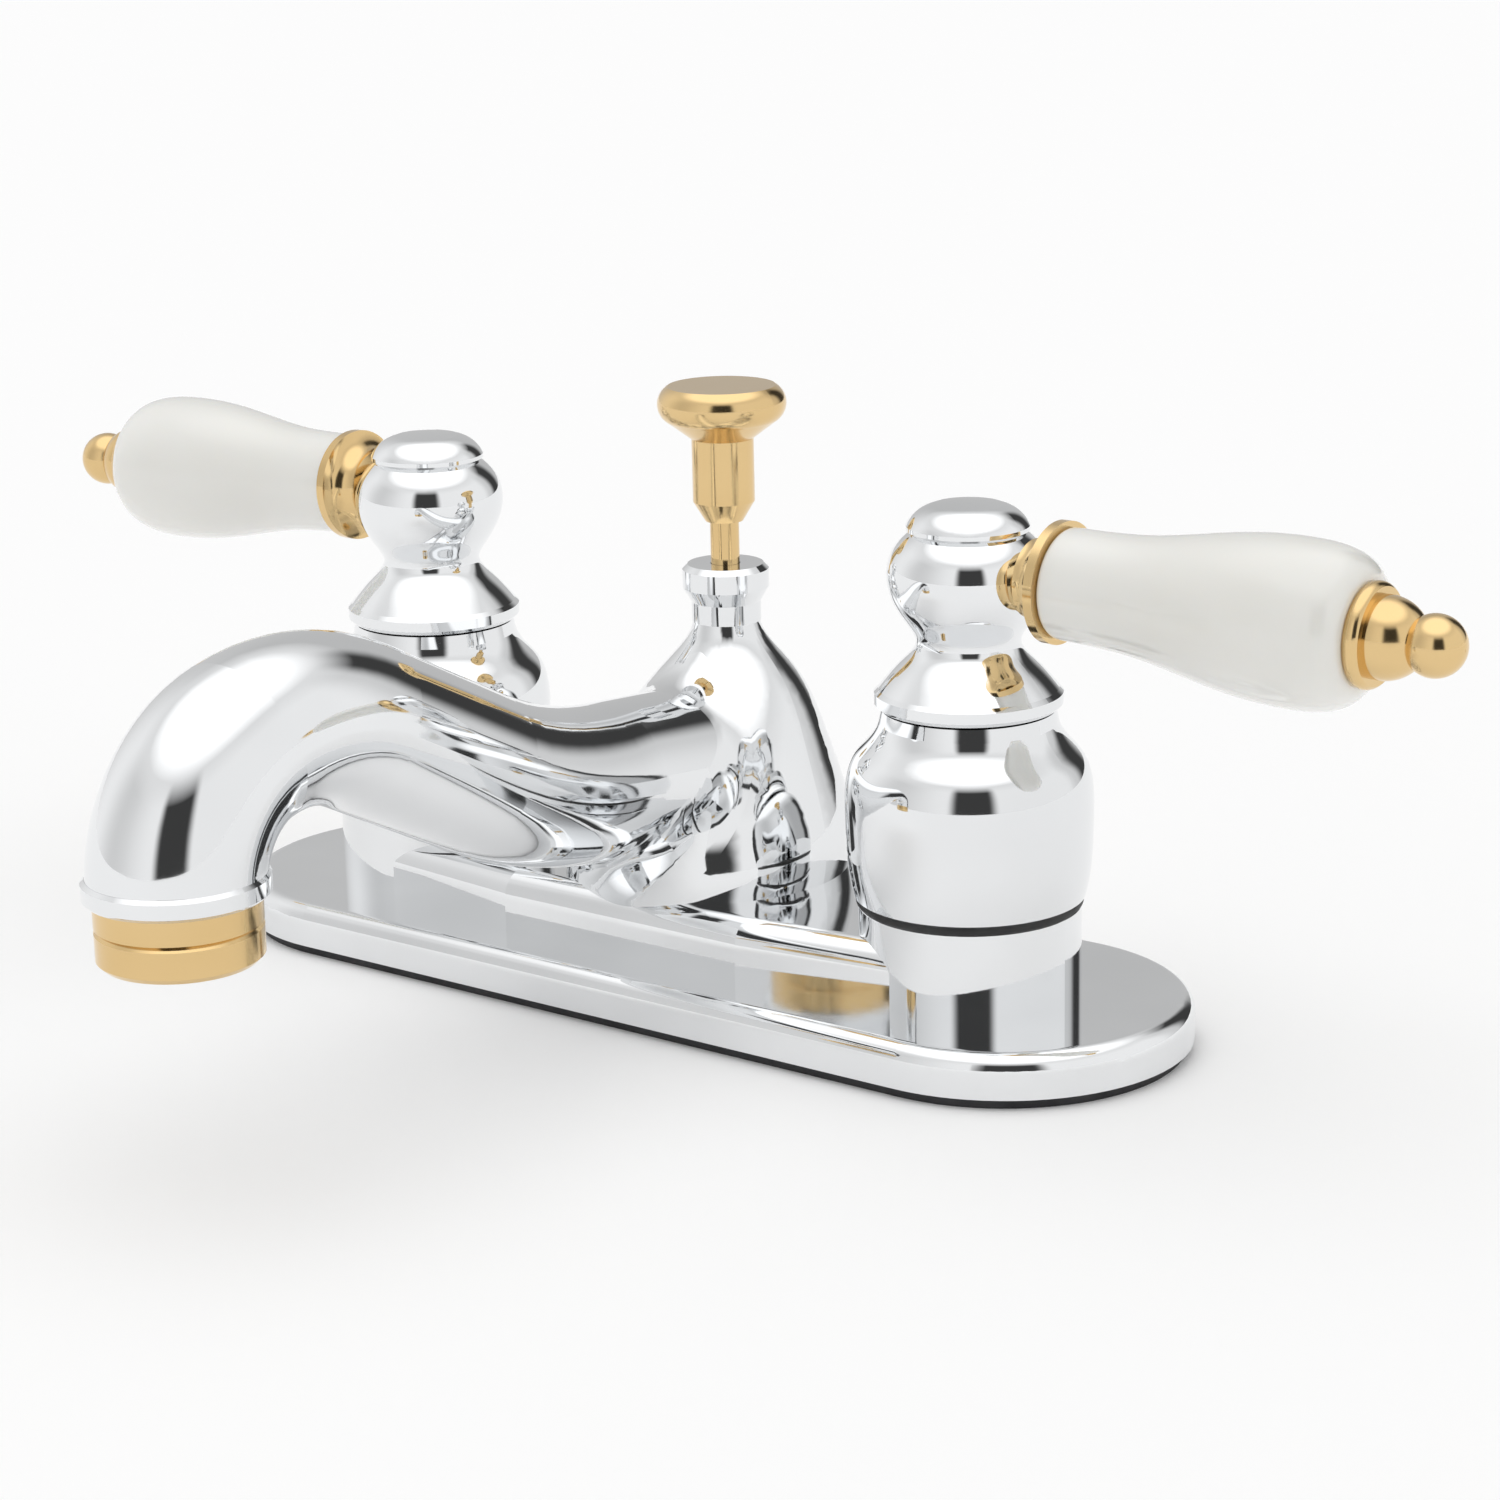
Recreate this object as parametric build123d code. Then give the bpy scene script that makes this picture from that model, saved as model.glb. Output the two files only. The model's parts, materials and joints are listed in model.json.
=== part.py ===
from build123d import *
import os
import math

# A centerset bathroom faucet for two valve holes 4 inches apart: one cast body
# that carries a swan-neck spout, two quarter-turn lever valves and the lift rod
# of the basin's waste. Sizes are in millimetres. +Z is up, +X is the user's
# right and -Y points at the user. The origin lies on the deck, midway between
# the two valve axes, and heights are measured up from the deck.

# Clearances
fit_gap = 0.05
turn_gap = 0.06
lift_gap = 0.08
seat_gap = 0.02

# Deck plate and gasket
valve_spacing = 101.6
plate_length = 168.4
plate_width = 55.6
plate_height = 8.0
plate_wall = 3.0
plate_edge_round = 2.6
gasket_thickness = 1.6
gasket_inset = 1.2
gasket_hole_gap = 0.6

# Bridge and pedestals of the casting
bridge_width = 31.0
bridge_middle_width = 37.4
bridge_middle_length = 44.0
bridge_rise = 9.0
bridge_round = 4.0
pedestal_radius = 16.2
pedestal_rise = 13.3
groove_chamfer = 0.8

# Teapot body between the valves
rod_setback = 10.0
belly_setback = 4.0
belly_radius = 21.8
belly_rise = 9.0
waist_setback = 6.4
waist_radius = 18.4
waist_rise = 25.0
shoulder_setback = 8.8
shoulder_radius = 13.6
shoulder_rise = 34.0
throat_radius = 8.6
throat_rise = 40.4
neck_foot_radius = 5.6
neck_foot_rise = 44.4
neck_radius = 5.3
neck_rise = 49.0
boss_radius = 6.6
boss_rise = 51.2
boss_height = 3.6
boss_chamfer = 0.8
boss_root = 3.0
saddle_round = 11.0

# Spout
spout_reach = 107.4
spout_radius = 11.75
spout_wall = 3.4
spout_slope = 27.5
rim_radius = 12.3
rim_height = 3.0
rim_shoulder = 0.5
tip_straight = 0.8
tip_bend_radius = 17.0
tip_bend_angle = 75.0
crown_bend_radius = 30.0
root_bend_radius = 80.0
root_slope = 5.5
root_z = 35.7
root_setforward = 20.7
spout_root_depth = 5.0
waterway_root_depth = -2.0
riser_radius = 4.5
riser_setforward = 6.0
cross_bore_radius = 3.5
cross_bore_setforward = 2.5
cross_bore_share = 0.6

# Valve cavity and inlet shank
valve_bore_radius = 9.5
valve_bore_depth = 11.3
inlet_bore_radius = 5.0
shank_radius = 10.3
shank_bore_radius = 6.4
shank_length = 48.0
shank_flange_radius = 13.0
shank_flange_height = 1.6
deck_thickness = 25.0
washer_radius = 19.0
washer_thickness = 2.0
locknut_across_flats = 31.0
locknut_height = 7.0

# Quarter-turn ceramic cartridge
seal_thickness = 2.0
disc_radius = 7.9
disc_thickness = 2.4
disc_port_radius = 2.1
disc_port_offset = 4.3
cartridge_radius = 9.35
cartridge_skirt_wall = 1.35
cartridge_window_width = 6.0
stem_foot_radius = 7.4
stem_foot_height = 2.5
hex_across_flats = 22.0
hex_height = 5.0
barrel_radius = 9.0
barrel_height = 10.0
cartridge_neck_radius = 6.5
cartridge_neck_height = 8.0
stem_radius = 4.0
ring_cord_radius = 0.65
ring_setback = 6.0
spline_radius = 3.7
spline_sides = 12
spline_length = 8.0

# Bell that covers the cartridge
bell_height = 28.3
bell_foot_radius = 16.8
bell_belly_radius = 17.9
bell_belly_rise = 12.5
bell_shoulder_radius = 16.4
bell_shoulder_rise = 21.3
bell_neck_radius = 12.9
bell_neck_rise = 26.4
bell_wall = 1.5
bell_top_thickness = 1.6

# Turning hub
hub_gap = 0.4
hub_lip_radius = 13.5
hub_lip_height = 2.7
hub_lip_round = 0.6
hub_flare_radius = 9.8
hub_flare_rise = 6.2
hub_neck_radius = 7.5
hub_neck_rise = 9.5
hub_ball_radius = 11.6
hub_ball_rise = 19.6
hub_top_radius = 8.3
hub_top_rise = 25.2
hub_recess_radius = 8.6
hub_recess_depth = 2.4
lever_rise = 20.1
cap_height = 4.2
cap_top_radius = 5.0
cap_side_height = 1.0
cap_overhang = 0.5
cap_well_radius = 5.6
cap_well_depth = 4.2
cap_plug_length = 2.6
screw_head_radius = 3.4
screw_head_height = 1.5
screw_radius = 1.8
screw_length = 9.0
screw_slot_width = 0.9
screw_slot_depth = 0.8

# Lever
lever_droop = 1.5
ferrule_start = 10.9
ferrule_radius = 5.6
ferrule_flange_radius = 8.7
ferrule_flange_start = 14.6
ferrule_flange_thickness = 1.4
grip_root_radius = 7.9
grip_waist_radius = 8.4
grip_bulge_radius = 11.6
grip_tip_radius = 7.2
grip_length = 46.5
grip_edge_round = 1.0
finial_flange_radius = 7.3
finial_flange_thickness = 2.2
finial_step_radius = 5.7
finial_step_length = 4.4
finial_waist_radius = 3.5
finial_ball_radius = 4.3
tie_rod_radius = 2.4
tie_rod_hub_depth = 3.2
tie_rod_finial_depth = 4.0

# Aerator
aerator_radius = 11.0
aerator_height = 8.6
aerator_groove = 0.35
aerator_lip_radius = 7.6
aerator_lip_height = 1.4
aerator_bore_radius = 8.8
aerator_thread_radius = 9.6
aerator_thread_length = 4.0
mesh_thickness = 0.8
mesh_hole_radius = 0.75
mesh_hole_pitch = 2.9
mesh_rings = 2
flow_disc_thickness = 3.0
flow_slot_count = 6
flow_slot_radius = 1.2
flow_slot_offset = 5.2
flow_washer_bore_radius = 6.0

# Lift rod and knob
lift_rod_radius = 2.2
lift_rod_exposed = 6.6
lift_rod_tail = 70.0
guide_length = 9.0
rod_bore_radius = 3.2
knob_taper_height = 3.0
knob_taper_radius = 2.9
knob_barrel_radius = 4.7
knob_barrel_height = 9.6
knob_cone_height = 2.6
knob_disc_radius = 9.75
knob_disc_height = 5.4
knob_disc_round = 1.6
knob_rod_depth = 6.0

# The spout's straight part and its mouth follow from the reach and the bends
tip_lean = math.radians(90 - tip_bend_angle)
rise_angle = math.radians(spout_slope)
root_angle = math.radians(root_slope)
root_bend_run = root_bend_radius * (math.sin(rise_angle) - math.sin(root_angle))
root_bend_rise = root_bend_radius * (math.cos(root_angle) - math.cos(rise_angle))
crown_run = crown_bend_radius * (math.sin(rise_angle) + math.sin(tip_lean))
crown_rise = crown_bend_radius * (math.cos(tip_lean) - math.cos(rise_angle))
tip_run = tip_bend_radius * (1 - math.sin(tip_lean))
tip_drop = tip_bend_radius * math.cos(tip_lean) + tip_straight
straight_run = spout_reach - root_setforward - root_bend_run - crown_run - tip_run
spout_straight = straight_run / math.cos(rise_angle)
rim_z = root_z + root_bend_rise + straight_run * math.tan(rise_angle) + crown_rise - tip_drop

# Heights that follow from the sizes above
bridge_top_z = plate_height + bridge_rise
pedestal_top_z = plate_height + pedestal_rise
plate_ceiling_z = plate_height - plate_wall
valve_floor_z = pedestal_top_z - valve_bore_depth
seal_top_z = valve_floor_z + seal_thickness
fixed_disc_top_z = seal_top_z + disc_thickness
moving_disc_z = fixed_disc_top_z + seat_gap
moving_disc_top_z = moving_disc_z + disc_thickness
stem_foot_z = moving_disc_top_z
stem_foot_top_z = stem_foot_z + stem_foot_height
cartridge_ceiling_z = stem_foot_top_z + turn_gap
hex_top_z = pedestal_top_z + hex_height
barrel_top_z = hex_top_z + barrel_height
bell_top_z = pedestal_top_z + bell_height
bell_inner_top_z = bell_top_z - bell_top_thickness
cartridge_top_z = barrel_top_z + cartridge_neck_height
hub_z = bell_top_z + hub_gap
hub_top_z = hub_z + hub_top_rise
lever_z = hub_z + lever_rise
cap_well_z = hub_top_z - cap_well_depth
screw_seat_z = cap_well_z - screw_head_height
spline_top_z = screw_seat_z - fit_gap
spline_z = spline_top_z - spline_length
boss_z = plate_height + boss_rise
boss_top_z = boss_z + boss_height
knob_z = boss_top_z + lift_rod_exposed
washer_top_z = -deck_thickness
locknut_top_z = washer_top_z - washer_thickness
aerator_z = rim_z - aerator_height
waterway_radius = spout_radius - spout_wall
cross_bore_z = plate_ceiling_z + (bridge_top_z - plate_ceiling_z) * cross_bore_share


def turned(outline):
    """One solid turned about Z from an outline of edges in the XZ plane."""
    face = make_face(Plane.XZ * outline)
    return revolve(face, Axis.Z)


def turned_polygon(*points):
    """One solid turned about Z from straight (radius, height) points."""
    return turned(Polyline(*points, close=True))


def tube(outer, inner, low, high):
    """A plain ring between two heights."""
    return turned_polygon((inner, low), (outer, low), (outer, high), (inner, high))


def rod(radius, low, high):
    """A plain round bar between two heights."""
    return turned_polygon((0, low), (radius, low), (radius, high), (0, high))


def crown(radius, low, high):
    """A shallow domed top, from its rim to the axis."""
    sag = high - low
    curve_radius = (radius**2 + sag**2) / (2 * sag)
    middle = high - curve_radius + math.sqrt(curve_radius**2 - (radius / 2) ** 2)
    return ThreePointArc((radius, low), (radius / 2, middle), (0, high))


def plate_block(inset, low, high):
    """The plate's long oval, drawn in from its edge by an inset."""
    oval = SlotOverall(plate_length - 2 * inset, plate_width - 2 * inset)
    return Pos(0, 0, low) * extrude(oval, high - low)


def spout_path(root_depth):
    """The spout's centreline from its mouth back into the body."""
    mouth = Line((-spout_reach, rim_z), (-spout_reach, rim_z + tip_straight))
    tip_bend = JernArc(mouth @ 1, (0, 1), tip_bend_radius, -tip_bend_angle)
    crown_angle = 90 + spout_slope - tip_bend_angle
    crown = JernArc(tip_bend @ 1, tip_bend % 1, crown_bend_radius, -crown_angle)
    straight = Line(crown @ 1, crown @ 1 + (crown % 1) * spout_straight)
    root_bend = JernArc(straight @ 1, straight % 1, root_bend_radius, spout_slope - root_slope)
    root_length = (root_setforward + root_depth) / math.cos(root_angle)
    root = Line(root_bend @ 1, root_bend @ 1 + (root_bend % 1) * root_length)
    return (Plane.YZ * (Curve() + [mouth, tip_bend, crown, straight, root_bend, root])).wire()


def spout_tube(radius, root_depth):
    """A round bar that follows the spout's centreline."""
    path = spout_path(root_depth)
    section = Plane(origin=path @ 0, z_dir=path % 0) * Circle(radius)
    return sweep(section, path=path)


def teapot():
    """The round body that leans back from its belly to the lift rod's boss."""
    rings = [
        (belly_setback, 0, belly_radius),
        (belly_setback, plate_height + belly_rise, belly_radius),
        (waist_setback, plate_height + waist_rise, waist_radius),
        (shoulder_setback, plate_height + shoulder_rise, shoulder_radius),
        (rod_setback, plate_height + throat_rise, throat_radius),
        (rod_setback, plate_height + neck_foot_rise, neck_foot_radius),
        (rod_setback, plate_height + neck_rise, neck_radius),
    ]
    sections = [(Plane((0, y, z)) * Circle(radius)).wire() for y, z, radius in rings]
    return Part() + [Solid.make_loft(sections)]


def boss():
    """The flared collar on top of the teapot that guides the lift rod."""
    neck_top_z = plate_height + neck_rise
    outline = Polyline(
        (0, neck_top_z - boss_root),
        (neck_radius, neck_top_z - boss_root),
        (neck_radius, neck_top_z),
        (boss_radius, boss_z),
        (boss_radius, boss_top_z - boss_chamfer),
        (boss_radius - boss_chamfer, boss_top_z),
        (0, boss_top_z),
        close=True,
    )
    return Pos(0, rod_setback, 0) * turned(outline)


def spout_and_teapot():
    """Teapot and spout blended into each other by one broad saddle."""
    blended = teapot() + spout_tube(spout_radius, spout_root_depth)
    ring_edges = blended.edges().filter_by(GeomType.BSPLINE).filter_by_position(Axis.Y, -spout_radius, 0)
    seam = ring_edges.sort_by(SortBy.LENGTH)[-1]
    below = Pos(0, 0, plate_ceiling_z - plate_width / 2) * Box(plate_width, 2 * plate_width, plate_width)
    return fillet(seam, saddle_round) - below


def spout_rim():
    """The raised band round the spout's mouth."""
    band = turned_polygon(
        (0, rim_z),
        (rim_radius - rim_shoulder, rim_z),
        (rim_radius, rim_z + rim_shoulder),
        (rim_radius, rim_z + rim_height - rim_shoulder),
        (spout_radius, rim_z + rim_height),
        (0, rim_z + rim_height),
    )
    return Pos(0, -spout_reach, 0) * band


def pedestal():
    """The round seat under one bell, with a chamfer that forms a groove."""
    return turned_polygon(
        (0, plate_ceiling_z),
        (pedestal_radius, plate_ceiling_z),
        (pedestal_radius, pedestal_top_z - groove_chamfer),
        (pedestal_radius - groove_chamfer, pedestal_top_z),
        (0, pedestal_top_z),
    )


def bridge():
    """The raised loaf that joins the two pedestals and hides the cross bore."""
    half_end = bridge_width / 2
    half_middle = bridge_middle_width / 2
    middle_x = bridge_middle_length / 2
    end_x = valve_spacing / 2
    front = [(-end_x, -half_end), (-middle_x, -half_middle), (middle_x, -half_middle), (end_x, -half_end)]
    back = [(x, -y) for x, y in reversed(front)]
    outline = Pos(0, 0, plate_ceiling_z) * make_face(Polyline(*front, *back, close=True))
    block = extrude(outline, bridge_top_z - plate_ceiling_z)
    top_edges = block.edges().filter_by_position(Axis.Z, bridge_top_z, bridge_top_z)
    long_edges = top_edges.filter_by(lambda edge: abs(edge.center().X) < end_x - 1)
    return fillet(long_edges, bridge_round)


def deck_plate():
    """The oval plate, rounded above and hollow below."""
    plate = plate_block(0, gasket_thickness, plate_height)
    plate = fillet(plate.edges().group_by(Axis.Z)[-1], plate_edge_round)
    return plate - plate_block(plate_wall, 0, plate_ceiling_z)


def waterways():
    """All the water passages inside the casting, as one tool to cut with."""
    spout_bore = spout_tube(waterway_radius, waterway_root_depth)
    riser = Pos(0, -riser_setforward, 0) * rod(riser_radius, cross_bore_z, root_z)
    thread_top_z = rim_z + aerator_thread_length
    mouth = Pos(0, -spout_reach, 0) * rod(aerator_thread_radius + fit_gap, rim_z, thread_top_z)
    cross = Rot(0, 90, 0) * Cylinder(cross_bore_radius, valve_spacing)
    cross = Pos(0, -cross_bore_setforward, cross_bore_z) * cross
    return spout_bore + mouth + riser + cross


def valve_bore():
    """The stepped bore for one cartridge and its inlet."""
    cavity = rod(valve_bore_radius, valve_floor_z, pedestal_top_z)
    inlet = rod(inlet_bore_radius, plate_ceiling_z, valve_floor_z)
    return cavity + inlet


def body():
    """The chrome-plated casting: plate, bridge, pedestals, teapot and spout."""
    shape = deck_plate() + bridge() + spout_and_teapot() + boss() + spout_rim()
    for side in (-1, 1):
        shape += Pos(side * valve_spacing / 2, 0, 0) * pedestal()
    shape -= waterways()
    for side in (-1, 1):
        shape -= Pos(side * valve_spacing / 2, 0, 0) * valve_bore()
    guide = rod(lift_rod_radius + lift_gap, boss_top_z - guide_length, boss_top_z)
    clearance = rod(rod_bore_radius, 0, boss_top_z - guide_length)
    shape -= Pos(0, rod_setback, 0) * (guide + clearance)
    return shape


def gasket():
    """The flat rubber sheet under the plate, with holes for shanks and rod."""
    sheet = plate_block(gasket_inset, 0, gasket_thickness)
    hole = rod(shank_flange_radius + gasket_hole_gap, 0, gasket_thickness)
    for side in (-1, 1):
        sheet -= Pos(side * valve_spacing / 2, 0, 0) * hole
    return sheet - Pos(0, rod_setback, 0) * rod(rod_bore_radius, 0, gasket_thickness)


def inlet_shank():
    """The threaded brass tail that clamps the faucet and takes the supply."""
    flange_z = plate_ceiling_z - shank_flange_height
    return turned_polygon(
        (shank_bore_radius, -shank_length),
        (shank_radius - 0.8, -shank_length),
        (shank_radius, 0.8 - shank_length),
        (shank_radius, flange_z),
        (shank_flange_radius, flange_z),
        (shank_flange_radius, plate_ceiling_z),
        (shank_bore_radius, plate_ceiling_z),
    )


def shank_washer():
    """The wide washer that bears on the underside of the deck."""
    return tube(washer_radius, shank_radius + fit_gap, washer_top_z - washer_thickness, washer_top_z)


def shank_locknut():
    """The hexagonal nut that pulls the faucet down."""
    hexagon = RegularPolygon(locknut_across_flats / 2, 6, major_radius=False)
    nut = Pos(0, 0, locknut_top_z - locknut_height) * extrude(hexagon, locknut_height)
    return nut - rod(shank_radius + fit_gap, locknut_top_z - locknut_height, locknut_top_z)


def seat_seal():
    """The rubber ring that seals the fixed disc to the valve seat."""
    return tube(cartridge_radius, inlet_bore_radius, valve_floor_z, seal_top_z)


def disc_ports(low, high):
    """Two round ports through a ceramic disc."""
    port = rod(disc_port_radius, low, high)
    return Pos(0, disc_port_offset, 0) * port + Pos(0, -disc_port_offset, 0) * port


def fixed_disc():
    """The lower ceramic disc with its two ports."""
    return rod(disc_radius, seal_top_z, fixed_disc_top_z) - disc_ports(seal_top_z, fixed_disc_top_z)


def moving_disc():
    """The upper ceramic disc, a quarter turn from the ports when shut."""
    disc = rod(disc_radius, moving_disc_z, moving_disc_top_z)
    return disc - Rot(0, 0, 90) * disc_ports(moving_disc_z, moving_disc_top_z)


def cartridge_body():
    """The brass cartridge: skirt with windows, hexagon, barrel and neck."""
    skirt_inner = cartridge_radius - cartridge_skirt_wall
    skirt = tube(cartridge_radius, skirt_inner, seal_top_z, cartridge_ceiling_z)
    core = rod(cartridge_radius, cartridge_ceiling_z, pedestal_top_z)
    window = Pos(0, 0, (seal_top_z + cartridge_ceiling_z) / 2)
    window *= Box(2.5 * cartridge_radius, cartridge_window_width, disc_thickness)
    hexagon = RegularPolygon(hex_across_flats / 2, 6, major_radius=False)
    shape = skirt - window + core
    shape += Pos(0, 0, pedestal_top_z) * extrude(hexagon, hex_height)
    shape += rod(barrel_radius, hex_top_z, barrel_top_z)
    shape += rod(cartridge_neck_radius, barrel_top_z, cartridge_top_z)
    return shape - rod(stem_radius + turn_gap, cartridge_ceiling_z, cartridge_top_z)


def ring_z():
    """Height of the stem's sealing ring, inside the cartridge's neck."""
    return cartridge_top_z - ring_setback


def cartridge_stem():
    """The stem: foot that drives the disc, grooved shaft and splined head."""
    groove_depth = 2 * ring_cord_radius - turn_gap
    half_groove = ring_cord_radius + fit_gap
    shaft = turned_polygon(
        (0, stem_foot_z),
        (stem_foot_radius, stem_foot_z),
        (stem_foot_radius, stem_foot_top_z),
        (stem_radius, stem_foot_top_z),
        (stem_radius, ring_z() - half_groove),
        (stem_radius - groove_depth, ring_z() - half_groove),
        (stem_radius - groove_depth, ring_z() + half_groove),
        (stem_radius, ring_z() + half_groove),
        (stem_radius, spline_z),
        (0, spline_z),
    )
    head = Pos(0, 0, spline_z) * extrude(RegularPolygon(spline_radius, spline_sides), spline_length)
    screw_hole = rod(screw_radius + fit_gap, screw_seat_z - screw_length - 1, spline_top_z)
    return shaft + head - screw_hole


def stem_ring():
    """The rubber ring in the stem's groove."""
    major = stem_radius + turn_gap - ring_cord_radius - fit_gap
    return Pos(0, 0, ring_z()) * Torus(major, ring_cord_radius - fit_gap)


def bell_outline(offset, low, high):
    """The bell's side in radius and height, moved in by a wall offset."""
    return Spline(
        (bell_foot_radius - offset, low),
        (bell_belly_radius - offset, pedestal_top_z + bell_belly_rise),
        (bell_shoulder_radius - offset, pedestal_top_z + bell_shoulder_rise),
        (bell_neck_radius - offset, high),
        tangents=[(0.25, 1), (-0.25, 1)],
    )


def bell():
    """The thin bell over the cartridge, closed on top round its neck."""
    neck_z = pedestal_top_z + bell_neck_rise
    outer = bell_outline(0, pedestal_top_z + groove_chamfer, neck_z)
    inner = bell_outline(bell_wall, pedestal_top_z, bell_inner_top_z)
    hole = cartridge_neck_radius + fit_gap
    foot = bell_foot_radius - groove_chamfer
    edge = bell_neck_radius - 0.4
    outline = Curve() + [
        inner,
        Line(inner @ 1, (hole, bell_inner_top_z)),
        Line((hole, bell_inner_top_z), (hole, bell_top_z)),
        Line((hole, bell_top_z), (edge, bell_top_z)),
        Line((edge, bell_top_z), outer @ 1),
        outer,
        Line(outer @ 0, (foot, pedestal_top_z)),
        Line((foot, pedestal_top_z), inner @ 0),
    ]
    return turned(outline)


def on_ball(angle):
    """A point of the hub's ball at an angle below its widest place."""
    below = math.radians(angle)
    return (hub_ball_radius * math.cos(below), hub_z + hub_ball_rise - hub_ball_radius * math.sin(below))


def hub():
    """The turning hub: flared skirt, slim neck and ball with the cap's well."""
    lip_z = hub_z + hub_lip_height
    lip = hub_lip_radius - hub_lip_round
    ball_z = hub_z + hub_ball_rise
    side = Spline(
        (lip, lip_z),
        (hub_flare_radius, hub_z + hub_flare_rise),
        (hub_neck_radius, hub_z + hub_neck_rise),
        on_ball(42),
        on_ball(17),
        (hub_ball_radius, ball_z),
        (0.925 * hub_ball_radius, ball_z + 0.53 * (hub_top_z - ball_z)),
        (hub_top_radius, hub_top_z),
        tangents=[(-0.8, 1), (-1, 0.75)],
    )
    outline = Curve() + [
        Line((0, hub_z), (lip, hub_z)),
        Line((lip, hub_z), (hub_lip_radius, hub_z + hub_lip_round)),
        Line((hub_lip_radius, hub_z + hub_lip_round), (hub_lip_radius, lip_z - hub_lip_round)),
        Line((hub_lip_radius, lip_z - hub_lip_round), (lip, lip_z)),
        side,
        Line(side @ 1, (0, hub_top_z)),
        Line((0, hub_top_z), (0, hub_z)),
    ]
    shape = turned(outline)
    shape -= rod(hub_recess_radius, hub_z, hub_z + hub_recess_depth)
    shape -= rod(stem_radius + fit_gap, hub_z, spline_z)
    socket = RegularPolygon(spline_radius + fit_gap, spline_sides)
    shape -= Pos(0, 0, spline_z) * extrude(socket, spline_length + fit_gap)
    shape -= rod(screw_radius + fit_gap, spline_z, cap_well_z)
    shape -= rod(screw_head_radius + fit_gap, screw_seat_z, cap_well_z)
    shape -= rod(cap_well_radius + fit_gap, cap_well_z, hub_top_z)
    seat = lever_placed(rod(ferrule_radius, ferrule_start, 2 * ferrule_start))
    tie_hole = lever_placed(rod(tie_rod_radius + fit_gap, ferrule_start - tie_rod_hub_depth, ferrule_start))
    return shape - seat - tie_hole


def hub_cap():
    """The button that closes the hub and hides its screw."""
    side_z = hub_top_z + cap_side_height
    plug_z = hub_top_z - cap_plug_length
    cap_radius = hub_top_radius + cap_overhang
    outline = Curve() + [
        Line((0, plug_z), (cap_well_radius, plug_z)),
        Line((cap_well_radius, plug_z), (cap_well_radius, hub_top_z)),
        Line((cap_well_radius, hub_top_z), (hub_top_radius, hub_top_z)),
        Line((hub_top_radius, hub_top_z), (cap_radius, hub_top_z + 0.4)),
        Line((cap_radius, hub_top_z + 0.4), (cap_radius, side_z)),
        ThreePointArc(
            (cap_radius, side_z),
            (cap_top_radius + 2.3, hub_top_z + 0.68 * cap_height),
            (cap_top_radius, hub_top_z + 0.93 * cap_height),
        ),
        crown(cap_top_radius, hub_top_z + 0.93 * cap_height, hub_top_z + cap_height),
        Line((0, hub_top_z + cap_height), (0, plug_z)),
    ]
    return turned(outline)


def hub_screw():
    """The slotted screw that holds the hub on the stem."""
    head_top_z = screw_seat_z + screw_head_height
    head = rod(screw_head_radius, screw_seat_z, head_top_z)
    shank = rod(screw_radius, screw_seat_z - screw_length, screw_seat_z)
    slot = Pos(0, 0, head_top_z - screw_slot_depth / 2)
    slot *= Box(2.2 * screw_head_radius, screw_slot_width, screw_slot_depth)
    return head + shank - slot


def lever_placed(shape):
    """A lever piece turned from Z to the right, tipped down and lifted."""
    return Pos(0, 0, lever_z) * Rot(0, 90 + lever_droop, 0) * shape


def grip_start():
    """Distance from the valve axis to the porcelain's root."""
    return ferrule_flange_start + ferrule_flange_thickness


def ferrule():
    """The turned brass cone between the hub and the porcelain."""
    flange = ferrule_flange_start
    outline = Curve() + [
        Line((tie_rod_radius + fit_gap, ferrule_start), (ferrule_radius, ferrule_start)),
        ThreePointArc(
            (ferrule_radius, ferrule_start),
            (ferrule_radius + 0.8, ferrule_start + 2.6),
            (ferrule_flange_radius, flange),
        ),
        Line((ferrule_flange_radius, flange), (ferrule_flange_radius, grip_start())),
        Line((ferrule_flange_radius, grip_start()), (tie_rod_radius + fit_gap, grip_start())),
        Line((tie_rod_radius + fit_gap, grip_start()), (tie_rod_radius + fit_gap, ferrule_start)),
    ]
    return lever_placed(turned(outline))


def grip_end():
    """Distance from the valve axis to the porcelain's outer end."""
    return grip_start() + grip_length


def porcelain_grip():
    """The glazed vase-shaped grip, slim at the hub and full near its end."""
    root = grip_start()
    bore = tie_rod_radius + 0.4
    side = Spline(
        (grip_root_radius, root + grip_edge_round),
        (grip_waist_radius, root + 0.26 * grip_length),
        (grip_bulge_radius, root + 0.79 * grip_length),
        (grip_tip_radius, grip_end()),
        tangents=[(0.02, 1), (-1, 0.12)],
    )
    outline = Curve() + [
        Line((bore, root), (grip_root_radius - 0.8, root)),
        ThreePointArc(
            (grip_root_radius - 0.8, root),
            (grip_root_radius - 0.22, root + 0.3),
            (grip_root_radius, root + grip_edge_round),
        ),
        side,
        Line(side @ 1, (bore, grip_end())),
        Line((bore, grip_end()), (bore, root)),
    ]
    return lever_placed(turned(outline))


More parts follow.
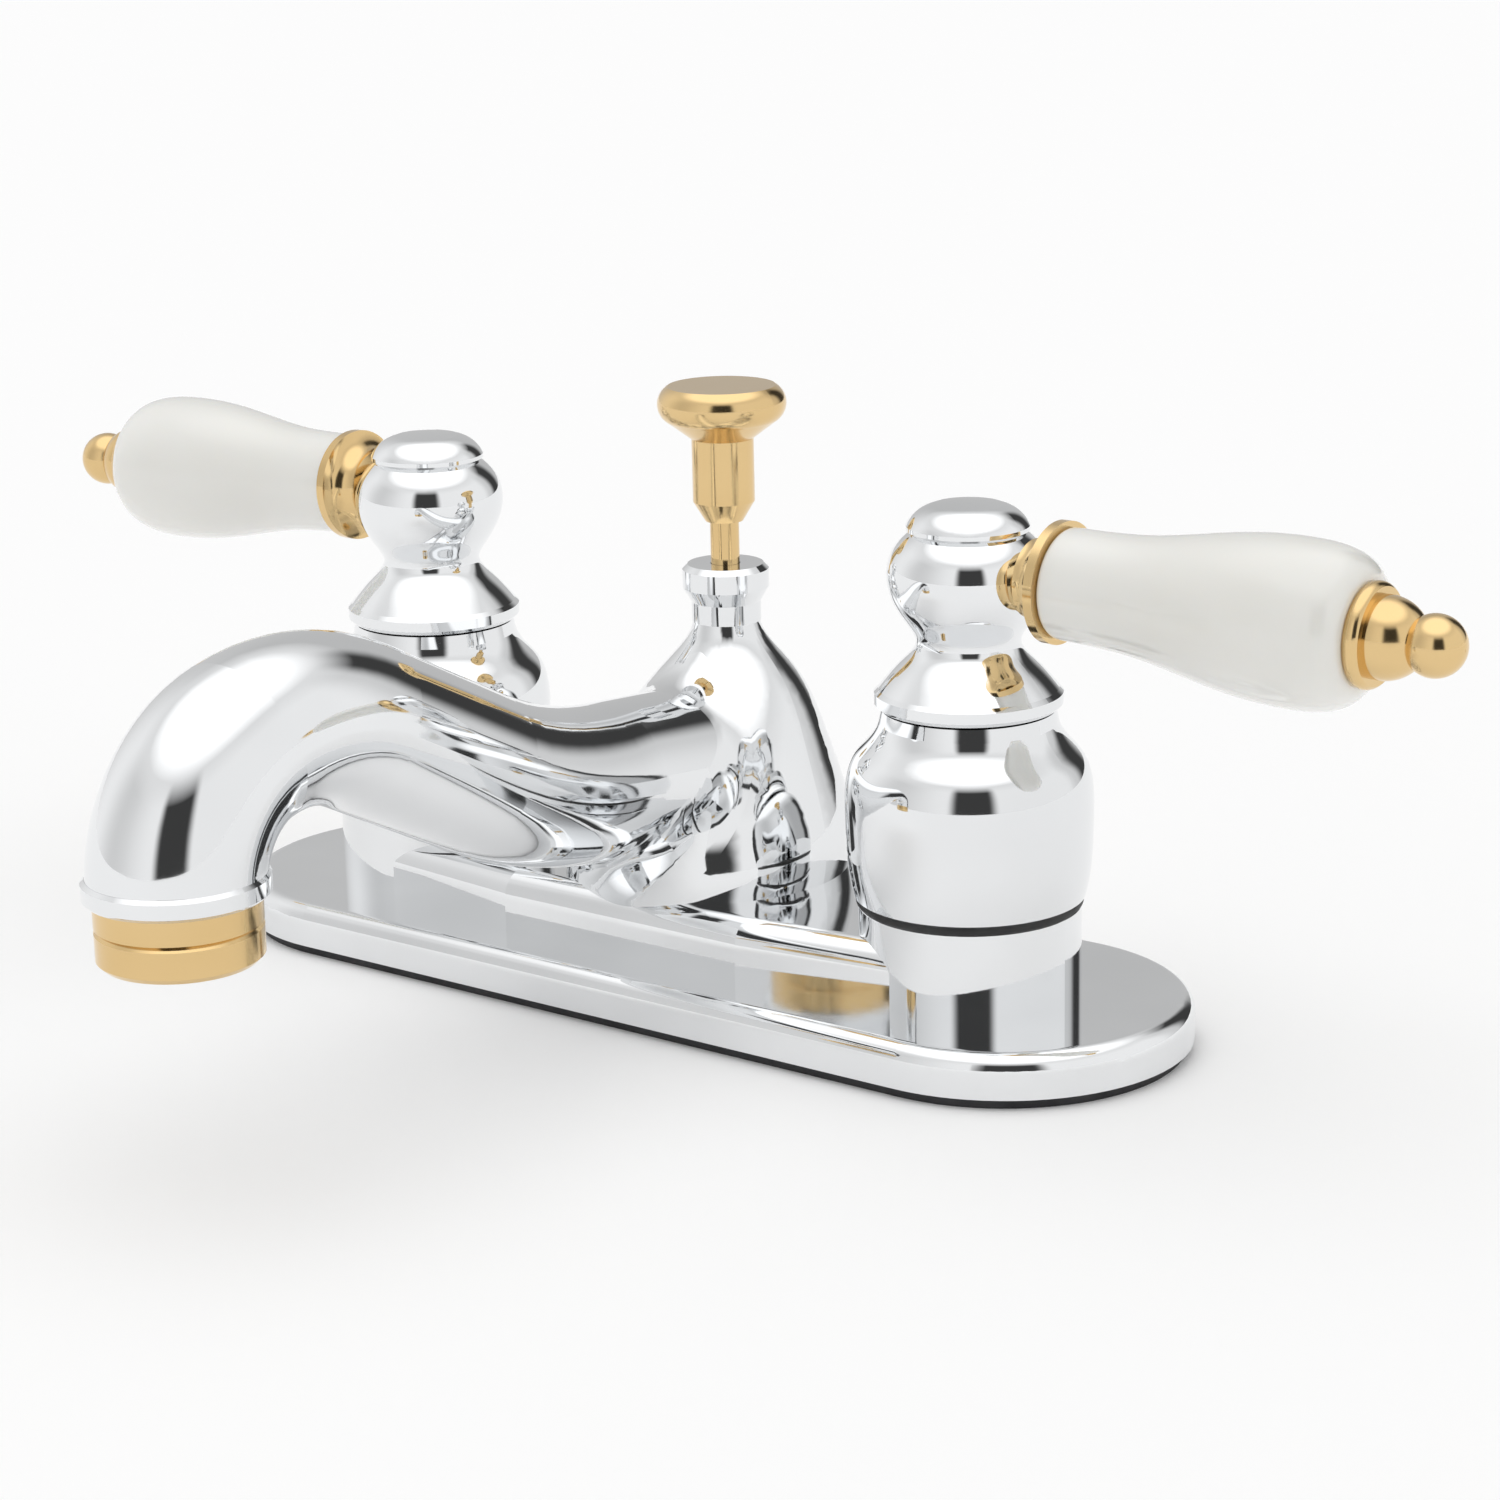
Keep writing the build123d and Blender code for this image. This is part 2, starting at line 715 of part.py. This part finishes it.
def finial():
    """The stepped brass end with its small ball."""
    base = grip_end()
    step = base + finial_flange_thickness
    waist = step + finial_step_length
    ball = waist + 0.8 * finial_ball_radius
    bore = tie_rod_radius + fit_gap
    blind = base + tie_rod_finial_depth
    half_waist = math.sqrt(finial_ball_radius**2 - finial_waist_radius**2)
    outline = Curve() + [
        Line((bore, base), (finial_flange_radius - 0.4, base)),
        ThreePointArc(
            (finial_flange_radius - 0.4, base),
            (finial_flange_radius, (base + step) / 2),
            (finial_flange_radius - 0.6, step),
        ),
        Line((finial_flange_radius - 0.6, step), (finial_step_radius, step)),
        ThreePointArc(
            (finial_step_radius, step),
            (finial_step_radius - 0.3, step + 0.6 * finial_step_length),
            (finial_waist_radius, ball - half_waist),
        ),
        ThreePointArc(
            (finial_waist_radius, ball - half_waist),
            (finial_ball_radius, ball),
            (0, ball + finial_ball_radius),
        ),
        Line((0, ball + finial_ball_radius), (0, blind)),
        Line((0, blind), (bore, blind)),
        Line((bore, blind), (bore, base)),
    ]
    return lever_placed(turned(outline))


def tie_rod():
    """The steel rod that threads into the hub and the finial."""
    low = ferrule_start - tie_rod_hub_depth + fit_gap
    high = grip_end() + tie_rod_finial_depth - fit_gap
    return lever_placed(rod(tie_rod_radius, low, high))


def aerator_housing():
    """The brass ring that screws into the spout's mouth."""
    mid = aerator_z + aerator_height * 0.55
    shell = turned_polygon(
        (aerator_lip_radius, aerator_z),
        (aerator_radius - 0.7, aerator_z),
        (aerator_radius, aerator_z + 0.7),
        (aerator_radius, mid - 0.4),
        (aerator_radius - aerator_groove, mid),
        (aerator_radius, mid + 0.4),
        (aerator_radius, rim_z),
        (aerator_thread_radius, rim_z),
        (aerator_thread_radius, rim_z + aerator_thread_length - fit_gap),
        (aerator_bore_radius - 0.6, rim_z + aerator_thread_length - fit_gap),
        (aerator_bore_radius - 0.6, rim_z),
        (aerator_bore_radius, rim_z),
        (aerator_bore_radius, aerator_z + aerator_lip_height),
        (aerator_lip_radius, aerator_z + aerator_lip_height),
    )
    return Pos(0, -spout_reach, 0) * shell


def hexagonal_spots(pitch, rings):
    """Centres of a honeycomb of holes, out to a number of rings."""
    spots = []
    for column in range(-rings, rings + 1):
        for row in range(-rings, rings + 1):
            if abs(column + row) <= rings:
                spots.append((pitch * (column + row / 2), pitch * row * math.sqrt(3) / 2))
    return spots


def aerator_mesh():
    """The round outlet grid with its honeycomb of holes."""
    low = aerator_z + aerator_lip_height
    grid = rod(aerator_bore_radius - fit_gap, low, low + mesh_thickness)
    hole = rod(mesh_hole_radius, low, low + mesh_thickness)
    for x, y in hexagonal_spots(mesh_hole_pitch, mesh_rings):
        grid -= Pos(x, y, 0) * hole
    return Pos(0, -spout_reach, 0) * grid


def flow_disc():
    """The plastic disc above the grid that mixes air into the water."""
    low = aerator_z + aerator_lip_height + mesh_thickness
    disc = rod(aerator_bore_radius - fit_gap, low, low + flow_disc_thickness)
    hole = rod(flow_slot_radius, low, low + flow_disc_thickness)
    for spot in PolarLocations(flow_slot_offset, flow_slot_count):
        disc -= spot * hole
    return Pos(0, -spout_reach, 0) * disc


def flow_washer():
    """The rubber washer that seals the aerator against the spout."""
    low = aerator_z + aerator_lip_height + mesh_thickness + flow_disc_thickness
    washer = tube(aerator_bore_radius - fit_gap, flow_washer_bore_radius, low, rim_z - fit_gap)
    return Pos(0, -spout_reach, 0) * washer


def lift_rod():
    """The straight rod that works the basin's waste."""
    top = knob_z + knob_rod_depth - fit_gap
    return Pos(0, rod_setback, 0) * rod(lift_rod_radius, -lift_rod_tail, top)


def lift_knob():
    """The turned knob: taper, barrel, cone and thick round disc."""
    barrel_z = knob_z + knob_taper_height
    cone_z = barrel_z + knob_barrel_height
    disc_z = cone_z + knob_cone_height
    top_z = disc_z + knob_disc_height
    middle_z = disc_z + knob_disc_height / 2
    bore = lift_rod_radius + fit_gap
    rim = knob_disc_radius - knob_disc_round
    outline = Curve() + [
        Line((bore, knob_z), (knob_taper_radius, knob_z)),
        Line((knob_taper_radius, knob_z), (knob_barrel_radius, barrel_z)),
        Line((knob_barrel_radius, barrel_z), (knob_barrel_radius, cone_z)),
        Line((knob_barrel_radius, cone_z), (rim, disc_z)),
        ThreePointArc((rim, disc_z), (knob_disc_radius, middle_z), (rim, top_z)),
        Line((rim, top_z), (0, top_z)),
        Line((0, top_z), (0, knob_z + knob_rod_depth)),
        Line((0, knob_z + knob_rod_depth), (bore, knob_z + knob_rod_depth)),
        Line((bore, knob_z + knob_rod_depth), (bore, knob_z)),
    ]
    return Pos(0, rod_setback, 0) * turned(outline)


def valve_pieces():
    """Every piece of one valve and handle, about the Z axis, lever to +X."""
    return {
        "inlet_shank": inlet_shank(),
        "shank_washer": shank_washer(),
        "shank_locknut": shank_locknut(),
        "seat_seal": seat_seal(),
        "fixed_disc": fixed_disc(),
        "moving_disc": moving_disc(),
        "cartridge_body": cartridge_body(),
        "cartridge_stem": cartridge_stem(),
        "stem_ring": stem_ring(),
        "bell": bell(),
        "handle_hub": hub(),
        "handle_cap": hub_cap(),
        "handle_screw": hub_screw(),
        "lever_ferrule": ferrule(),
        "lever_grip": porcelain_grip(),
        "lever_finial": finial(),
        "lever_tie_rod": tie_rod(),
    }


def all_pieces():
    """Every piece of the faucet by its name."""
    pieces = {
        "body": body(),
        "deck_gasket": gasket(),
        "aerator_housing": aerator_housing(),
        "aerator_mesh": aerator_mesh(),
        "aerator_flow_disc": flow_disc(),
        "aerator_washer": flow_washer(),
        "lift_rod": lift_rod(),
        "lift_knob": lift_knob(),
    }
    for name, shape in valve_pieces().items():
        pieces["right_" + name] = Pos(valve_spacing / 2, 0, 0) * shape
        pieces["left_" + name] = Pos(-valve_spacing / 2, 0, 0) * Rot(0, 0, 180) * shape
    return pieces


os.makedirs("parts", exist_ok=True)
for name, shape in all_pieces().items():
    export_step(shape, "parts/" + name + ".step")
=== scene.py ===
import json
import math

import bmesh
import bpy
from mathutils import Matrix, Vector


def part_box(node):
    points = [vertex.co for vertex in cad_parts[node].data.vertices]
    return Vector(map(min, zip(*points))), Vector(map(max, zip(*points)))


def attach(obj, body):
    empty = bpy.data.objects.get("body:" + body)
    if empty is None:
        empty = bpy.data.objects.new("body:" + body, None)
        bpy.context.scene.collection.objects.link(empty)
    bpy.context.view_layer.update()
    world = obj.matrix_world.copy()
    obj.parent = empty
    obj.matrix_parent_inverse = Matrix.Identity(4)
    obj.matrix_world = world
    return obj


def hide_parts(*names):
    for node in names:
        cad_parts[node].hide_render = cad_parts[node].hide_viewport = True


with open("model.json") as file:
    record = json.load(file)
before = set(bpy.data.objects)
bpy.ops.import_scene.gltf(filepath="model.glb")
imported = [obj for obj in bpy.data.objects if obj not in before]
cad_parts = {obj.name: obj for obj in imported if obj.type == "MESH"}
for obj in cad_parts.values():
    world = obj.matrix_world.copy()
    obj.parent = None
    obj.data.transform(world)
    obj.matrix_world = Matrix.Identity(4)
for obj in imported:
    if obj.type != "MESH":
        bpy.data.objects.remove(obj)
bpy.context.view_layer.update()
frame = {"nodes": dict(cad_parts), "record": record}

# Millimetres to metres
MM = 0.001

# The camera's place and lens, as fitted to the photograph
PHOTO_SIZE = 1500
FOCAL_PIXELS = 3629.1
SENSOR_WIDTH = 36.0
CAMERA_AZIMUTH = math.radians(37.16)
CAMERA_ELEVATION = math.radians(15.62)
CAMERA_ROLL = math.radians(-1.24)
ORIGIN_RIGHT = -8.42 * MM
ORIGIN_UP = -34.25 * MM
ORIGIN_DEPTH = 560.36 * MM


def camera_axes():
    """The camera's right, up and forward directions in the object's frame."""
    sin_a, cos_a = math.sin(CAMERA_AZIMUTH), math.cos(CAMERA_AZIMUTH)
    sin_e, cos_e = math.sin(CAMERA_ELEVATION), math.cos(CAMERA_ELEVATION)
    level_right = Vector((cos_a, sin_a, 0))
    level_up = Vector((-sin_a * sin_e, cos_a * sin_e, cos_e))
    forward = Vector((-sin_a * cos_e, cos_a * cos_e, -sin_e))
    cos_r, sin_r = math.cos(CAMERA_ROLL), math.sin(CAMERA_ROLL)
    right = cos_r * level_right + sin_r * level_up
    up = cos_r * level_up - sin_r * level_right
    return right, up, forward


def make_camera():
    right, up, forward = camera_axes()
    place = -(ORIGIN_RIGHT * right + ORIGIN_UP * up + ORIGIN_DEPTH * forward)
    data = bpy.data.cameras.new("camera")
    data.sensor_fit = "HORIZONTAL"
    data.sensor_width = SENSOR_WIDTH
    data.lens = FOCAL_PIXELS / PHOTO_SIZE * SENSOR_WIDTH
    data.clip_start = 0.01
    data.clip_end = 100
    camera = bpy.data.objects.new("camera", data)
    turn = Matrix((right, up, -forward)).transposed().to_4x4()
    camera.matrix_world = Matrix.Translation(place) @ turn
    bpy.context.scene.collection.objects.link(camera)
    bpy.context.scene.camera = camera


# Materials

# The part of its range that noise mostly fills
NOISE_LOW = 0.3
NOISE_HIGH = 0.7

# How many changes of tone there are in a metre of metal
METAL_TONES = 38.0

# The waves in a metal's surface: how many in a metre, and how high
METAL_WAVES = 90.0
METAL_WAVE_HEIGHT = 0.4 * MM

# How strongly the grain of rubber, plastic and ceramic shows
GRAIN_STRENGTH = 0.35

# Two colours, lowest and highest roughness, wave strength, polish grain per metre
METALS = {
    "chrome": ((0.80, 0.81, 0.82), (0.86, 0.87, 0.88), 0.03, 0.06, 0.0, 260),
    "polished_brass": ((0.73, 0.515, 0.245), (0.79, 0.575, 0.29), 0.10, 0.17, 0.0, 260),
    "raw_brass": ((0.66, 0.50, 0.24), (0.74, 0.58, 0.30), 0.22, 0.34, 0.1, 900),
    "steel_mesh": ((0.48, 0.49, 0.50), (0.58, 0.59, 0.60), 0.25, 0.38, 0.1, 900),
    "screw_steel": ((0.52, 0.52, 0.53), (0.62, 0.62, 0.63), 0.20, 0.32, 0.1, 900),
}

# Two colours, lowest and highest roughness, grain per metre and its depth
SOFT_SOLIDS = {
    "disc_ceramic": ((0.86, 0.83, 0.76), (0.90, 0.88, 0.83), 0.18, 0.28, 600, 0.02 * MM),
    "white_plastic": ((0.78, 0.78, 0.75), (0.82, 0.82, 0.80), 0.35, 0.50, 900, 0.04 * MM),
    "shank_plastic": ((0.74, 0.73, 0.68), (0.80, 0.79, 0.75), 0.40, 0.55, 900, 0.04 * MM),
    "gasket_rubber": ((0.018, 0.018, 0.020), (0.035, 0.035, 0.038), 0.50, 0.70, 700, 0.08 * MM),
    "seal_rubber": ((0.015, 0.015, 0.015), (0.030, 0.030, 0.030), 0.45, 0.65, 700, 0.06 * MM),
}


class Nodes:
    """A short way to write a node tree."""

    def __init__(self, tree):
        self.tree = tree
        tree.nodes.clear()

    def add(self, kind, values=None, **settings):
        node = self.tree.nodes.new(kind)
        for key, value in settings.items():
            setattr(node, key, value)
        for key, value in (values or {}).items():
            node.inputs[key].default_value = value
        return node

    def link(self, source, target):
        self.tree.links.new(source, target)


def new_material(name):
    material = bpy.data.materials.new(name)
    material.use_nodes = True
    nodes = Nodes(material.node_tree)
    output = nodes.add("ShaderNodeOutputMaterial")
    shader = nodes.add("ShaderNodeBsdfPrincipled")
    nodes.link(shader.outputs["BSDF"], output.inputs["Surface"])
    return material, nodes, shader


def noise(nodes, scale, detail):
    """Noise in object coordinates, scaled per metre."""
    place = nodes.add("ShaderNodeTexCoord")
    texture = nodes.add("ShaderNodeTexNoise", {"Scale": scale, "Detail": detail})
    nodes.link(place.outputs["Object"], texture.inputs["Vector"])
    return texture.outputs["Fac"]


def spread(nodes, value, low, high, from_low=NOISE_LOW, from_high=NOISE_HIGH):
    """Maps a value to a range, and holds it at the range's ends."""
    ranger = nodes.add(
        "ShaderNodeMapRange",
        {"From Min": from_low, "From Max": from_high, "To Min": low, "To Max": high},
    )
    nodes.link(value, ranger.inputs["Value"])
    return ranger.outputs["Result"]


def blend(nodes, factor, first, second):
    """Mixes two colour outputs or fixed colours by a factor."""
    mix = nodes.add("ShaderNodeMix", data_type="RGBA")
    nodes.link(factor, mix.inputs["Factor"])
    for source, socket in ((first, mix.inputs["A"]), (second, mix.inputs["B"])):
        if isinstance(source, tuple):
            socket.default_value = (*source, 1)
        else:
            nodes.link(source, socket)
    return mix.outputs["Result"]


def dress(nodes, shader, scale, first, second):
    """Gives a shader its base colour, which drifts between two tones."""
    tone = spread(nodes, noise(nodes, scale, 2.0), 0.0, 1.0)
    nodes.link(blend(nodes, tone, first, second), shader.inputs["Base Color"])


def roughen(nodes, shader, scale, detail, low, high):
    nodes.link(spread(nodes, noise(nodes, scale, detail), low, high), shader.inputs["Roughness"])


def bump(nodes, shader, scale, detail, strength, distance):
    node = nodes.add("ShaderNodeBump", {"Strength": strength, "Distance": distance})
    nodes.link(noise(nodes, scale, detail), node.inputs["Height"])
    nodes.link(node.outputs["Normal"], shader.inputs["Normal"])


def metal(name, first, second, rough_low, rough_high, wave, grain):
    """A polished or turned metal with faint changes of tone and polish."""
    material, nodes, shader = new_material(name)
    shader.inputs["Metallic"].default_value = 1.0
    dress(nodes, shader, METAL_TONES, first, second)
    roughen(nodes, shader, grain, 4.0, rough_low, rough_high)
    if wave:
        bump(nodes, shader, METAL_WAVES, 1.0, wave, METAL_WAVE_HEIGHT)
    return material


def soft_solid(name, first, second, rough_low, rough_high, grain, depth):
    """Rubber, plastic or lapped ceramic with a fine moulded grain."""
    material, nodes, shader = new_material(name)
    dress(nodes, shader, grain / 6, first, second)
    roughen(nodes, shader, grain / 2, 3.0, rough_low, rough_high)
    bump(nodes, shader, grain, 3.0, GRAIN_STRENGTH, depth)
    return material


def porcelain(name):
    """White vitreous glaze over a warm body, faintly uneven."""
    material, nodes, shader = new_material(name)
    dress(nodes, shader, 30.0, (0.80, 0.79, 0.74), (0.86, 0.855, 0.82))
    roughen(nodes, shader, 60.0, 2.0, 0.10, 0.17)
    bump(nodes, shader, 55.0, 1.0, 0.10, 0.5 * MM)
    shader.inputs["Coat Weight"].default_value = 0.6
    shader.inputs["Coat Roughness"].default_value = 0.05
    shader.inputs["Subsurface Weight"].default_value = 0.08
    shader.inputs["Subsurface Radius"].default_value = (4 * MM, 3 * MM, 2 * MM)
    shader.inputs["Subsurface Scale"].default_value = 0.5
    return material


def make_materials():
    finishes = {name: metal(name, *values) for name, values in METALS.items()}
    for name, values in SOFT_SOLIDS.items():
        finishes[name] = soft_solid(name, *values)
    finishes["white_porcelain"] = porcelain("white_porcelain")
    return finishes


def dress_cad_nodes(finishes):
    """Gives every CAD node the procedural material of its record slot."""
    slots = {part["node"]: part["material_slot"] for part in frame["record"]["subparts"]}
    for name, node in frame["nodes"].items():
        node.data.materials.clear()
        node.data.materials.append(finishes[slots[name]])


# Pieces that the solids leave plain

# Edges sharper than these many degrees stay sharp
SMOOTH_CREASE = 35
THREAD_CREASE = 50

# The black ring in the groove under each bell
RING_RADIUS = 15.6 * MM
RING_CORD_RADIUS = 0.9 * MM
RING_COLUMNS = 96
RING_CORD_SIDES = 16

# The half-inch pipe thread on each inlet shank
SHANK_RADIUS = 10.3 * MM
SHANK_BORE_RADIUS = 6.4 * MM
SHANK_FLANGE_HEIGHT = 1.6 * MM
SHANK_COLUMNS = 72
THREAD_PITCH = 1.814 * MM
THREAD_DEPTH = 1.1 * MM
THREAD_LENGTH = 44.0 * MM
THREAD_LEAD = 1.2 * MM
STEPS_PER_PITCH = 10

# The shares of half a pitch that half a crest and one flank take
THREAD_CREST = 0.14
THREAD_FLANK = 0.68


def new_piece(name, mesh, body, slot, finishes, crease):
    """Puts a mesh into the scene with its finish, on the body that carries it."""
    mesh.materials.append(finishes[slot])
    for face in mesh.polygons:
        face.use_smooth = True
    mesh.set_sharp_from_angle(angle=math.radians(crease))
    piece = bpy.data.objects.new(name, mesh)
    bpy.context.scene.collection.objects.link(piece)
    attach(piece, body)
    return piece


def middle(low, high):
    """The vertical axis of a box, as x and y."""
    return (low[0] + high[0]) / 2, (low[1] + high[1]) / 2


def swept_ring(name, outline, around, centre):
    """A ring about a vertical axis. outline(share of a turn) gives its closed
    outline there, as radii and heights."""
    mesh = bpy.data.meshes.new(name)
    work = bmesh.new()
    columns = []
    for step in range(around):
        turn = 2 * math.pi * step / around
        column = []
        for radius, height in outline(step / around):
            x = centre[0] + radius * math.cos(turn)
            y = centre[1] + radius * math.sin(turn)
            column.append(work.verts.new((x, y, height)))
        columns.append(column)
    count = len(columns[0])
    for step in range(around):
        here, there = columns[step], columns[(step + 1) % around]
        for i in range(count):
            k = (i + 1) % count
            work.faces.new((here[i], there[i], there[k], here[k]))
    bmesh.ops.recalc_face_normals(work, faces=work.faces)
    work.to_mesh(mesh)
    work.free()
    return mesh


def make_bell_ring(side, finishes):
    """The dark rubber ring that shows in the groove between bell and pedestal."""
    low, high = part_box(f"{side}_bell")
    cord = []
    for step in range(RING_CORD_SIDES):
        turn = 2 * math.pi * step / RING_CORD_SIDES
        radius = RING_RADIUS + RING_CORD_RADIUS * math.cos(turn)
        cord.append((radius, low[2] + RING_CORD_RADIUS * math.sin(turn)))
    name = f"{side}_bell_ring"
    mesh = swept_ring(name, lambda share: cord, RING_COLUMNS, middle(low, high))
    new_piece(name, mesh, "faucet", "seal_rubber", finishes, SMOOTH_CREASE)


def thread_cut(share):
    """How deep the thread is at a share of its pitch, from 0 at the crest to 1."""
    return min(max((abs(share - 0.5) * 2 - THREAD_CREST) / THREAD_FLANK, 0), 1)


def make_threaded_shank(side, finishes):
    """The inlet shank with its thread cut, in the place of the plain solid."""
    node = f"{side}_inlet_shank"
    low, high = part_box(node)
    flange_radius = (high[0] - low[0]) / 2
    flange_foot = high[2] - SHANK_FLANGE_HEIGHT
    step = THREAD_PITCH / STEPS_PER_PITCH
    heights = [low[2] + step * i for i in range(int(THREAD_LENGTH / step))]

    def outline(share):
        points = [(SHANK_BORE_RADIUS, high[2]), (SHANK_BORE_RADIUS, low[2])]
        for height in heights:
            along = height - low[2]
            lead = min(along / THREAD_LEAD, 1)
            fade = min((THREAD_LENGTH - along) / THREAD_LEAD, 1)
            cut = thread_cut((along / THREAD_PITCH - share) % 1)
            depth = max(cut * fade, 1 - lead)
            points.append((SHANK_RADIUS - THREAD_DEPTH * depth, height))
        points.append((SHANK_RADIUS, flange_foot))
        points.append((flange_radius, flange_foot))
        points.append((flange_radius, high[2]))
        return points

    name = f"{side}_shank_thread"
    mesh = swept_ring(name, outline, SHANK_COLUMNS, middle(low, high))
    piece = new_piece(name, mesh, "faucet", "raw_brass", finishes, THREAD_CREASE)
    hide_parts(node)


# Stage and light

FLOOR_SIZE = 12.0
FLOOR_TONE = 0.97

# The studio's grey tones. 1 is white.
LIT_WALL = 0.95
PALE_WALL = 0.70
BACK_WALL = 0.55
DARK_GAP = 0.05
COVE = 0.85
TOP_LIGHT = 1.45

# The walls around the object. A place on the ring is a share of a turn,
# anticlockwise seen from above, that starts behind the object: the camera
# stands at 0.5 and the right of the picture is at 0.75.
STUDIO_RING = [
    (0.00, BACK_WALL),
    (0.17, LIT_WALL),
    (0.28, PALE_WALL),
    (0.43, LIT_WALL),
    (0.46, DARK_GAP),
    (0.54, DARK_GAP),
    (0.57, LIT_WALL),
    (0.78, LIT_WALL),
    (0.83, PALE_WALL),
    (0.87, DARK_GAP),
    (0.90, DARK_GAP),
    (0.94, BACK_WALL),
]

# The sines of the elevations between which the walls turn into the cove, and
# the cove into the top light
COVE_RISE = (0.55, 0.72)
TOP_RISE = (0.72, 0.86)


def grey(tone):
    return (tone, tone, tone)


def make_floor():
    """A pale plane at deck height, which the metal shows too."""
    mesh = bpy.data.meshes.new("floor")
    half = FLOOR_SIZE / 2
    corners = [(-half, -half, 0), (half, -half, 0), (half, half, 0), (-half, half, 0)]
    mesh.from_pydata(corners, [], [(0, 1, 2, 3)])
    floor = bpy.data.objects.new("floor", mesh)
    bpy.context.scene.collection.objects.link(floor)
    material = bpy.data.materials.new("floor_white")
    material.use_nodes = True
    nodes = Nodes(material.node_tree)
    output = nodes.add("ShaderNodeOutputMaterial")
    white = nodes.add("ShaderNodeBsdfDiffuse", {"Color": (*grey(FLOOR_TONE), 1)})
    nodes.link(white.outputs["BSDF"], output.inputs["Surface"])
    mesh.materials.append(material)


def make_world():
    """Pale studio walls with two dark gaps, under a soft top light."""
    world = bpy.data.worlds.new("studio")
    bpy.context.scene.world = world
    world.use_nodes = True
    nodes = Nodes(world.node_tree)
    output = nodes.add("ShaderNodeOutputWorld")
    place = nodes.add("ShaderNodeTexCoord")
    heading = math.pi / 2 - CAMERA_AZIMUTH
    turn = nodes.add("ShaderNodeMapping", {"Rotation": (0, 0, heading)})
    split = nodes.add("ShaderNodeSeparateXYZ")
    nodes.link(place.outputs["Generated"], turn.inputs["Vector"])
    nodes.link(turn.outputs["Vector"], split.inputs["Vector"])
    around = nodes.add("ShaderNodeMath", operation="ARCTAN2")
    nodes.link(split.outputs["Y"], around.inputs[0])
    nodes.link(split.outputs["X"], around.inputs[1])
    share = spread(nodes, around.outputs["Value"], 0, 1, -math.pi, math.pi)
    ring = nodes.add("ShaderNodeValToRGB")
    ring.color_ramp.interpolation = "EASE"
    while len(ring.color_ramp.elements) < len(STUDIO_RING):
        ring.color_ramp.elements.new(0.5)
    for element, (position, tone) in zip(ring.color_ramp.elements, STUDIO_RING):
        element.position = position
        element.color = (*grey(tone), 1)
    nodes.link(share, ring.inputs["Fac"])
    cove = spread(nodes, split.outputs["Z"], 0, 1, *COVE_RISE)
    top = spread(nodes, split.outputs["Z"], 0, 1, *TOP_RISE)
    walls = blend(nodes, cove, ring.outputs["Color"], grey(COVE))
    walls = blend(nodes, top, walls, grey(TOP_LIGHT))
    background = nodes.add("ShaderNodeBackground")
    nodes.link(walls, background.inputs["Color"])
    nodes.link(background.outputs["Background"], output.inputs["Surface"])


make_camera()
finishes = make_materials()
dress_cad_nodes(finishes)
for side in ("left", "right"):
    make_bell_ring(side, finishes)
    make_threaded_shank(side, finishes)
make_floor()
make_world()
bpy.context.scene.view_settings.view_transform = "Standard"
